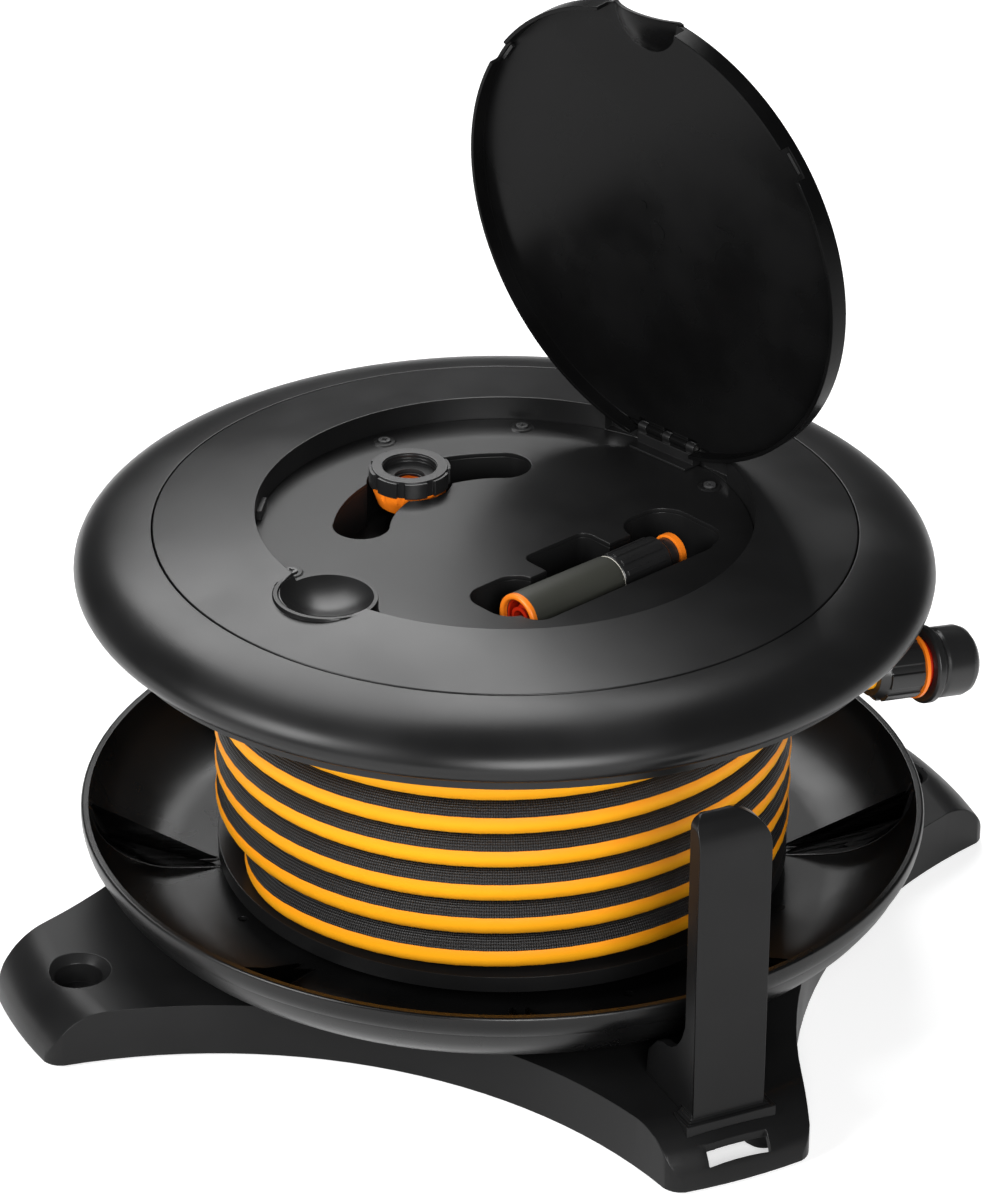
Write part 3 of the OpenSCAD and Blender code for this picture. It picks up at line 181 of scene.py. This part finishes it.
# %% Other plastics, rubber and steel
lid_gloss = plastic("lid_inside_gloss", grey(0.003), grey(0.005), 0.27, 0.14, gloss=0.08, cloud=16)
# The bowl is coloured darker than the charcoal of the other parts: painted shade for its inside, which
# lies in shade under the drum.
bowl_painted_shade_gloss = plastic("bowl_painted_shade_gloss", grey(0.003), grey(0.006), 0.3, 0.12, gloss=0.34, cloud=12)
olive = plastic("nozzle_olive", (0.030, 0.031, 0.025, 1), (0.040, 0.041, 0.033, 1), 0.5)
orange = plastic("orange_gloss", (0.86, 0.19, 0.008, 1), (0.95, 0.23, 0.012, 1), 0.36)
deep_red = plastic("deep_red_gloss", (0.40, 0.012, 0.003, 1), (0.47, 0.018, 0.004, 1), 0.3)
black = plastic("connector_black", grey(0.010), grey(0.014), 0.34)
rubber = plastic("black_rubber", grey(0.012), grey(0.017), 0.7, depth=0.05)
natural = plastic("bearing_natural", (0.55, 0.53, 0.47, 1), (0.62, 0.60, 0.54, 1), 0.4)


def steel(name):
    made, flow = new_finish(name)
    where = places(flow)
    streak = flow.node("TexNoise", {}, {0: where, "Scale": 700.0, "Detail": 3.0})
    tint = streak.between(0.3, 0.7)
    bump = flow.node("Bump", {}, {"Strength": 0.6, "Distance": 0.02 * MM, "Height": streak})
    close_finish(flow, {"Base Color": tint.colours((0.5, 0.5, 0.48, 1), (0.66, 0.66, 0.63, 1)),
                        "Metallic": 1.0, "Roughness": 0.28 + tint * 0.12, "Normal": bump})
    return made


zinc = steel("zinc_steel")
dark_zinc = plastic("blackened_steel", grey(0.02), grey(0.05), 0.4, gloss=0.8)
print("materials", len(bpy.data.materials))

# %% [markdown]
# The hose's black face shows fine slanted ridges, as a woven layer under a thin skin would give, and
# a wide orange stripe runs along it. The black is painted lighter on the ridges, and the orange darker
# at the stripe's edges: painted highlight and painted shade. The stripe has to follow the tube, so
# this finish reads the tube's own UV map: U is the length along the hose in metres, V goes once round it.


# %% Hose finish
def hose_finish():
    made, flow = new_finish("striped_hose")
    uv = flow.node("TexCoord", out=2)
    split = flow.node("SeparateXYZ", {}, {0: uv})
    along = split
    around = Flow(split.tree, split.socket.node.outputs[1])
    fuzz = flow.node("TexNoise", {}, {0: uv, "Scale": 900.0, "Detail": 3.0})
    edge = abs(around - 0.5) + (fuzz - 0.5) * 0.004
    stripe = edge.between(0.186, 0.178)
    # The orange is painted darker towards the stripe's edges: painted shade where the round hose turns
    # away from the light.
    painted_stripe_edge_shade = edge.between(0.09, 0.18)
    orange_with_painted_shade = painted_stripe_edge_shade.colours((1.0, 0.42, 0.008, 1), (0.94, 0.31, 0.004, 1))
    weave_a = (along * 2600 + around * 130).sine()
    weave_b = (along * 2600 - around * 130).sine()
    weave = (weave_a * weave_b + 1) * 0.5
    # The black is painted lighter on the weave's ridges and darker in its grooves: painted highlight and
    # painted shade.
    black_with_painted_ridge_light = weave.between(0.3, 0.8).colours(grey(0.002), grey(0.03))
    relief = weave * (1 - stripe) + fuzz * 0.1
    bump = flow.node("Bump", {}, {"Strength": 1.0, "Distance": 0.5 * MM, "Height": relief})
    close_finish(flow, {"Base Color": stripe.colours(black_with_painted_ridge_light, orange_with_painted_shade),
                        "Roughness": 0.36 + stripe * 0.16, "Specular IOR Level": 0.3, "Normal": bump})
    return made


hose_skin = hose_finish()
print("hose finish ready")

# %% [markdown]
# The hose lies in four layers round the drum. A wound hose is one even spiral, so its centre line
# can be worked out and a ring of points carried along it. The rings share one direction as up,
# which keeps the orange stripe on the same side all the way round, as on a hose wound with care.

# %% Hose route
HOSE = 0.019
PITCH, LOW, WIND_R = 0.0196, 0.0668, 0.1425
TAIL_TURN = -102
FIRST_TURN = TAIL_TURN - 360 * 6 - 82


def circle_point(radius, turn, height):
    turn = math.radians(turn)
    return Vector((radius * math.cos(turn), radius * math.sin(turn), height))


def layer(radius, start, end, lift, first=FIRST_TURN, per_turn=64):
    count = math.ceil((end - start) / 360 * per_turn)
    turns = [start + (end - start) * i / count for i in range(count + 1)]
    return [circle_point(radius, a, LOW + lift + (a - first) / 360 * PITCH) for a in turns]


TUCK_CENTRE, TUCK_R = 0.0675, 0.075


def tuck_point(b):
    return circle_point(TUCK_CENTRE, FIRST_TURN, LOW) + circle_point(TUCK_R, FIRST_TURN - b, 0)


tuck_turn = math.radians(FIRST_TURN - 60)
tuck_way = Vector((-math.sin(tuck_turn), math.cos(tuck_turn), 0))
outer_route = [tuck_point(60) - s * HOSE * tuck_way for s in (1.15, 0.6)]
outer_route += [tuck_point(b) for b in range(60, 0, -6)]
outer_route += layer(WIND_R, FIRST_TURN, TAIL_TURN, 0)
print("outer layer", len(outer_route), "points")

# %% Tail route
tail_turn = math.radians(TAIL_TURN)
tail_from = outer_route[-1]
tail_way = Vector((-math.sin(tail_turn), math.cos(tail_turn), 0.02))
CONN_TURN, CONN_DROOP = math.radians(-17.7), math.radians(7.2)
conn_at = Vector((0.1189, -0.1778, 0.1783))
conn_way = Vector((math.cos(CONN_TURN) * math.cos(CONN_DROOP),
                   math.sin(CONN_TURN) * math.cos(CONN_DROOP), -math.sin(CONN_DROOP)))
tail_to = conn_at - HOSE * conn_way
tail_bend = tail_to - 1.4 * HOSE * conn_way
pull = 0.042


def bezier(a, b, c, d, t):
    s = 1 - t
    return a * s**3 + b * 3 * s * s * t + c * 3 * s * t * t + d * t**3


tail_route = [tail_from, tail_from + 0.25 * HOSE * tail_way]
tail_route += [bezier(tail_from, tail_from + pull * tail_way, tail_bend - pull * conn_way,
                      tail_bend, i / 21) for i in range(2, 22)]
tail_route += [tail_to - s * HOSE * conn_way for s in (1.05, 0.7, 0.35, 0)]
tail_length = sum((b - a).length for a, b in zip(tail_route, tail_route[1:]))
print("tail length", round(tail_length, 4))

# %% [markdown]
# A tube is rings of points joined by faces. Writing the rings in code gives each face its place on
# the UV map as it is made, which a curve's bevel can't do so exactly. Both ends are closed, except on
# a tube that is given a wall, such as the lead inside the drum, which stays open.


# %% Sweep a tube
def sweep(name, route, radius, sides, start_way=None, end_way=None, u_from=0.0, wall=None):
    points, faces, uvs, run = [], [], [], [u_from]
    for a, b in zip(route, route[1:]):
        run.append(run[-1] + (b - a).length)
    last = len(route) - 1
    for i, p in enumerate(route):
        way = (route[min(i + 1, last)] - route[max(i - 1, 0)]).normalized()
        way = start_way if start_way and i == 0 else end_way if end_way and i == last else way
        side = way.cross(Vector((0, 0, 1))).normalized()
        rise = side.cross(way)
        for k in range(sides):
            t = SEAM + 2 * math.pi * k / sides
            points.append(p + radius * (math.cos(t) * side + math.sin(t) * rise))
    for i in range(last):
        for k in range(sides):
            n = (k + 1) % sides
            faces.append([i * sides + k, i * sides + n, (i + 1) * sides + n, (i + 1) * sides + k])
            uvs.append([(run[i], k), (run[i], k + 1), (run[i + 1], k + 1), (run[i + 1], k)])
    if not wall:
        faces.append([k for k in reversed(range(sides))])
        faces.append([last * sides + k for k in range(sides)])
        uvs += [[(run[0], sides / 2)] * sides, [(run[-1], sides / 2)] * sides]
    mesh = bpy.data.meshes.new(name)
    mesh.from_pydata(points, [], faces)
    layer_uv = mesh.uv_layers.new(name="hose")
    flat = [(u, v / sides) for corners in uvs for u, v in corners]
    for corner, value in zip(layer_uv.data, flat):
        corner.uv = value
    piece = bpy.data.objects.new(name, mesh)
    bpy.context.collection.objects.link(piece)
    pick(piece)
    bpy.ops.object.shade_smooth()
    piece.data.materials.append(hose_skin)
    if wall:
        shell = piece.modifiers.new("wall", "SOLIDIFY")
        shell.thickness, shell.offset = wall, -1
        bpy.ops.object.modifier_apply(modifier="wall")
    return piece, run[-1]


SEAM = math.radians(135)
print("the stripe's middle is opposite the seam, at", round(math.degrees(SEAM) - 180), "degrees")

# %% Wind the hose
hose_outer, run_out = sweep("hose_outer_layer", outer_route, HOSE / 2, 24, tuck_way, tail_way.normalized())
hose_end, _ = sweep("hose_free_end", tail_route, HOSE / 2, 24, tail_way.normalized(), conn_way, run_out)
HALF_PITCH = PITCH / 2
INNER_LAYERS = ((0.0933, 0, 2160, HALF_PITCH), (0.1097, 320, 2200, 0), (0.1261, 0, 2120, HALF_PITCH))
inner = [layer(radius, FIRST_TURN + start, FIRST_TURN + end, lift, per_turn=36)
         for radius, start, end, lift in INNER_LAYERS]
inner_pieces = [sweep(f"hose_inner_layer_{i + 1}", r, HOSE / 2, 12)[0] for i, r in enumerate(inner)]
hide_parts("hose_winding")
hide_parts("hose_core")
for made in [hose_outer] + inner_pieces:
    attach(made, "turntable")
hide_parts("hose_tail")
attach(hose_end, "turntable")
print("hose wound, outer layer", round(run_out, 2), "m")

# %% Lead inside the drum
LEAD_TURN, LEAD_HEIGHT, HOSE_WALL = 162, 0.183, 0.003
LEAD_REACHES = (24.3, 44, 64, 83.1)
lead_way = circle_point(1, LEAD_TURN, 0)
lead_route = [Vector((0, 0, LEAD_HEIGHT)) + d * MM * lead_way for d in LEAD_REACHES]
hose_lead, _ = sweep("hose_lead_tube", lead_route, HOSE / 2, 24, wall=HOSE_WALL)
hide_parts("hose_lead")
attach(hose_lead, "turntable")
print("lead", [round(v, 4) for v in lead_route[-1]])

# %% [markdown]
# Moulded parts have no razor edges: the mould's corners are rounded, and it is the thin light line
# along each edge that makes plastic look like plastic. So each moulded part is copied, its loose
# triangles are joined, flat areas are merged back into single faces, and every sharp edge gets a
# small bevel. The copy then stands for the CAD part. Screws, springs, seals, pads and bushes keep
# their CAD shape.


def soften(name, body, finish, edge=0.5, angle=32, segments=2, flat=0.5, smooth=30):
    piece = bpy.data.objects.new(name + "_moulded", nodes[name].data.copy())
    bpy.context.collection.objects.link(piece)
    pick(piece)
    piece.data.materials.clear()
    piece.data.materials.append(finish)
    bpy.ops.object.mode_set(mode="EDIT")
    bpy.ops.mesh.select_all(action="SELECT")
    bpy.ops.mesh.remove_doubles(threshold=0.00001)
    bpy.ops.mesh.dissolve_limited(angle_limit=math.radians(flat))
    bpy.ops.object.mode_set(mode="OBJECT")
    if edge:
        bevel = piece.modifiers.new("edges", "BEVEL")
        bevel.width, bevel.segments, bevel.limit_method = edge * MM, segments, "ANGLE"
        bevel.angle_limit, bevel.use_clamp_overlap = math.radians(angle), False
        bevel.miter_outer = "MITER_ARC"
        bpy.ops.object.modifier_apply(modifier="edges")
    bpy.ops.object.shade_smooth_by_angle(angle=math.radians(smooth))
    even = piece.modifiers.new("even shading", "WEIGHTED_NORMAL")
    even.keep_sharp, even.weight = True, 80
    bpy.ops.object.modifier_apply(modifier="even shading")
    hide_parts(name)
    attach(piece, body)
    return piece


record = frame["record"]
body_of = {n: body for body, members in record["behaviour"]["bodies"].items() for n in members}

# %% Foot, bowl and posts
for name in ("foot_frame", "front_post", "rear_post", "spindle", "retaining_nut", "inlet_pipe"):
    soften(name, body_of[name], charcoal_base, 0.5)
soften("bowl", "base", bowl_painted_shade_gloss, 0.5)
print("base softened")

# %% Turntable
for name, edge in (("rim_ring", 0.5), ("top_panel", 0.5), ("storage_tray", 0.5), ("nozzle_cup", 0.4),
                   ("adaptor_cup", 0.4), ("tray_posts", 0.3), ("under_plate", 0.5),
                   ("lower_flange", 0.5), ("drum_barrel", 0.4), ("swivel_housing", 0.4),
                   ("hinge_bracket", 0.4), ("latch_catches", 0.3)):
    soften(name, body_of[name], charcoal, edge)
soften("finger_cup", "turntable", charcoal, 0.2)
print("turntable softened")

# %% Lid
soften("lid", "lid", lid_gloss, 0.45)
soften("lid_latches", "lid", charcoal, 0.3)
print("lid softened")

# %% Connector, nozzle and adaptor
fittings = {}
for name, finish in (("connector_nut", black), ("connector_body", deep_red), ("connector_ring", orange),
                     ("release_sleeve", black), ("nozzle_body", olive), ("nozzle_rear_ring", orange),
                     ("nozzle_socket", deep_red), ("nozzle_switch", black), ("nozzle_head", black),
                     ("nozzle_tip_ring", orange), ("spray_plate", black), ("adaptor_ring", black),
                     ("adaptor_collar", orange), ("adaptor_spigot", orange), ("inlet_nipple", orange),
                     ("stop_valve", natural)):
    fittings[name] = soften(name, body_of[name], finish, 0.25, segments=2)
print("fittings softened")

# %% Everything that keeps its CAD shape
for names, finish in ((("foot_pads", "spigot_seals", "connector_seal", "adaptor_washer"), rubber),
                      (("thrust_washer", "bearing_bushes"), natural),
                      (("tray_screws",), dark_zinc),
                      (("post_screws", "bowl_screws", "hose_clip", "hinge_pin",
                        "sleeve_spring", "valve_spring"), zinc)):
    for name in names:
        nodes[name].data.materials.clear()
        nodes[name].data.materials.append(finish)
print("carried over nodes finished")

# %% [markdown]
# Small things finish the fittings. The adaptor's bore has a thread, cut in real life by a tap or
# moulded round a core that is screwed out. Three fine rings stand for it, made once and repeated by
# an Array modifier. A pale seal shows as a thin line where the nozzle's head turns on its body.
# These two places are in millimetres, as in the CAD source.


# %% Thread and seal
def ring(name, at, radius, thick, finish, body, turn=(0, 0, 0), count=1, step=0.0):
    let_go()
    bpy.ops.mesh.primitive_torus_add(major_radius=radius * MM, minor_radius=thick * MM, rotation=turn,
                                     major_segments=72, minor_segments=8, location=Vector(at) * MM)
    made = bpy.context.object
    made.name = name
    bpy.ops.object.transform_apply(location=True, rotation=True, scale=True)
    bpy.ops.object.shade_smooth()
    if count > 1:
        more = made.modifiers.new("repeat", "ARRAY")
        more.count, more.use_relative_offset, more.use_constant_offset = count, False, True
        more.constant_offset_displace = (0, 0, -step * MM)
        bpy.ops.object.modifier_apply(modifier="repeat")
    made.data.materials.append(finish)
    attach(made, body)
    return made


ADAPTOR_THREAD_AT = (4.418, 74.369, 242.3)
THREAD_R, THREAD_STEP = 14.4, 1.8
ring("adaptor_thread", ADAPTOR_THREAD_AT, THREAD_R, 0.45, black, "tap_adaptor",
     count=3, step=THREAD_STEP)
NOZZLE_TURN, NOZZLE_Y, NOZZLE_Z = math.radians(-3), -63.5, 226.2
JOINT_ALONG, JOINT_R = 11.2, 12.0
joint_at = (JOINT_ALONG * math.cos(NOZZLE_TURN), NOZZLE_Y + JOINT_ALONG * math.sin(NOZZLE_TURN), NOZZLE_Z)
ring("nozzle_joint_seal", joint_at, JOINT_R, 0.2, natural, "spray_nozzle",
     turn=(0, math.radians(90), NOZZLE_TURN))
print("thread and seal made")

# %% [markdown]
# Pins push a moulded lid out of its mould and leave shallow round marks on its inner face. Each
# mark is a disc that stands a quarter of a millimetre out, placed as on the shut lid and turned with
# it. Five are made, three near the middle and two near the edge. They are as dark as the lid, so
# they hardly show from the camera.

# %% Marks on the lid
hinge = Vector((0.1237, 0, 0.2446))
open_turn = math.radians(84.2)
opened = Matrix.Rotation(open_turn, 3, "Y")
SHUT_INNER_FACE, MARK_DEPTH = 244.65, 0.4
LID_MARKS = ((0, 0, 5), (-13, 9, 2.4), (6, -14, 2.4), (64, -78, 4), (64, 78, 4))
for i, (x, y, radius) in enumerate(LID_MARKS):
    let_go()
    place = hinge + opened @ (Vector((x, y, SHUT_INNER_FACE)) * MM - hinge)
    bpy.ops.mesh.primitive_cylinder_add(vertices=40, radius=radius * MM, depth=MARK_DEPTH * MM,
                                        location=place, rotation=(0, open_turn, 0))
    mark = bpy.context.object
    mark.name = f"lid_mark_{i + 1}"
    bpy.ops.object.transform_apply(location=True, rotation=True, scale=True)
    bpy.ops.object.shade_smooth_by_angle(angle=math.radians(30))
    mark.data.materials.append(lid_gloss)
    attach(mark, "lid")
print("lid marks made")

# %% [markdown]
# The free end of the hose is a real cord: it has a length and a stiffness, and a connector on it.
# The pieces on it are gathered in one list.

on_tail = [fittings[n] for n in ("connector_nut", "connector_body", "connector_ring", "release_sleeve",
                                 "stop_valve")]
on_tail += [nodes[n] for n in ("connector_seal", "sleeve_spring", "valve_spring")]
print("free end declared,", round(tail_length, 3), "m")

# %% [markdown]
# The reel stands on a plain pale floor under soft light, as in a catalogue photograph. A big lamp
# above and behind gives the disc its broad grey sheen. Two more, at the left and at the front, light
# the sides. Dark plastic mirrors the floor too, so its glow counts half for reflections.


# %% Floor
let_go()
bpy.ops.mesh.primitive_plane_add(size=30)
floor = bpy.context.object
floor.name = "studio_floor"
floor_finish, flow = new_finish("pale_floor")
rays = flow.node("LightPath").socket.node.outputs
seen = Flow(flow.tree, rays["Is Camera Ray"]) + Flow(flow.tree, rays["Is Glossy Ray"]) * 0.5
seen = seen + Flow(flow.tree, rays["Is Transmission Ray"])
lit = flow.node("BsdfDiffuse", {}, {"Color": (0.8, 0.8, 0.8, 1)})
glow = flow.node("Emission", {}, {"Color": (1, 1, 1, 1), "Strength": 0.55})
both = flow.node("AddShader", {}, {0: lit, 1: glow})
mixed = flow.node("MixShader", {}, {0: seen, 1: lit, 2: both})
flow.node("OutputMaterial", {}, {0: mixed})
floor.data.materials.append(floor_finish)
print("floor laid")


# %% Lamps
def lamp(name, turn, rise, distance, size, power, aim_at=(0, 0, 0.2)):
    turn, rise = math.radians(turn), math.radians(rise)
    way = Vector((math.sin(turn) * math.cos(rise), -math.cos(turn) * math.cos(rise), math.sin(rise)))
    bpy.ops.object.light_add(type="AREA", location=Vector(aim_at) + way * distance)
    made = bpy.context.object
    made.name = name
    made.rotation_euler = (-way).to_track_quat("-Z", "Y").to_euler()
    made.data.size, made.data.energy = size, power
    return made


lamp("back_softbox", 147, 50, 2.2, 1.5, 42)
lamp("left_softbox", -105, 30, 2.4, 1.0, 42)
lamp("front_softbox", -35, 22, 2.6, 1.2, 64)
world = bpy.data.worlds.new("studio")
bpy.context.scene.world = world
world.use_nodes = True
world.node_tree.nodes["Background"].inputs["Color"].default_value = (0.75, 0.76, 0.78, 1)
world.node_tree.nodes["Background"].inputs["Strength"].default_value = 0.08
bpy.context.scene.view_settings.view_transform = "Standard"
print("lights set")

# %% Finish
print("scene built")
